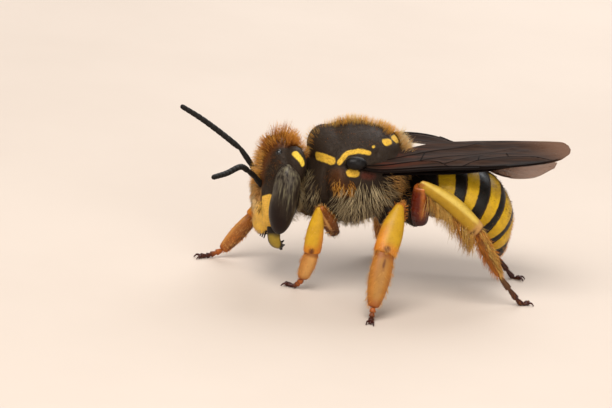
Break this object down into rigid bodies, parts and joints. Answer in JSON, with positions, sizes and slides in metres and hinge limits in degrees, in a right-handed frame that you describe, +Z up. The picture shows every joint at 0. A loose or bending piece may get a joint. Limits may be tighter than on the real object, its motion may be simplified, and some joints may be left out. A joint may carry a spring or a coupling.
{
  "type": "bee",
  "caption": "Male carder bee standing at rest with wings folded over a curled, banded abdomen, a life-size display model.",
  "frame": {"origin": "middle of the bee's outline at floor level, under the thorax and abdomen", "axes": "+X from the head towards the tail along the bee's length, +Y to the bee's right side, +Z up"},
  "size_m": [0.0204, 0.0123, 0.0091],
  "materials": {
    "coat": "dense erect hair over dark finely pitted plate",
    "head_coat": "short ginger hair over dark plate and a yellow face",
    "cuticle_black": "satin, finely pitted",
    "cuticle_banded": "satin, finely pitted, black with yellow bands",
    "cuticle_yellow": "satin",
    "cuticle_amber": "satin under short hair",
    "cuticle_mahogany": "glossy",
    "eye": "fine glossy facets with pale streaks",
    "wing": "smoky membrane with dark veins"
  },
  "bodies": {
    "root": {"abdomen_ring_1": "cuticle_banded", "abdomen_ring_2": "cuticle_banded", "abdomen_ring_3": "cuticle_banded", "abdomen_ring_4": "cuticle_banded", "abdomen_ring_5": "cuticle_banded", "abdomen_ring_6": "cuticle_banded", "abdomen_ring_7": "cuticle_banded", "eye_left": "eye", "eye_right": "eye", "flagellum_left": "cuticle_black", "flagellum_right": "cuticle_black", "forewing_left": "wing", "forewing_right": "wing", "front_left_basitarsus": "cuticle_amber", "front_left_coxa": "cuticle_black", "front_left_femur": "cuticle_amber", "front_left_tarsus": "cuticle_mahogany", "front_left_tibia": "cuticle_yellow", "front_right_basitarsus": "cuticle_amber", "front_right_coxa": "cuticle_black", "front_right_femur": "cuticle_amber", "front_right_tarsus": "cuticle_mahogany", "front_right_tibia": "cuticle_yellow", "head": "head_coat", "hind_left_basitarsus": "cuticle_amber", "hind_left_coxa": "cuticle_black", "hind_left_femur": "cuticle_mahogany", "hind_left_tarsus": "cuticle_mahogany", "hind_left_tibia": "cuticle_yellow", "hind_right_basitarsus": "cuticle_amber", "hind_right_coxa": "cuticle_black", "hind_right_femur": "cuticle_mahogany", "hind_right_tarsus": "cuticle_mahogany", "hind_right_tibia": "cuticle_yellow", "hindwing_left": "wing", "hindwing_right": "wing", "mandible_left": "cuticle_yellow", "mandible_right": "cuticle_yellow", "mid_left_basitarsus": "cuticle_amber", "mid_left_coxa": "cuticle_black", "mid_left_femur": "cuticle_amber", "mid_left_tarsus": "cuticle_mahogany", "mid_left_tibia": "cuticle_yellow", "mid_right_basitarsus": "cuticle_amber", "mid_right_coxa": "cuticle_black", "mid_right_femur": "cuticle_amber", "mid_right_tarsus": "cuticle_mahogany", "mid_right_tibia": "cuticle_yellow", "neck": "coat", "scape_left": "cuticle_black", "scape_right": "cuticle_black", "scutellum": "coat", "tegula_left": "cuticle_black", "tegula_right": "cuticle_black", "thorax": "coat"}
  },
  "joints": []
}
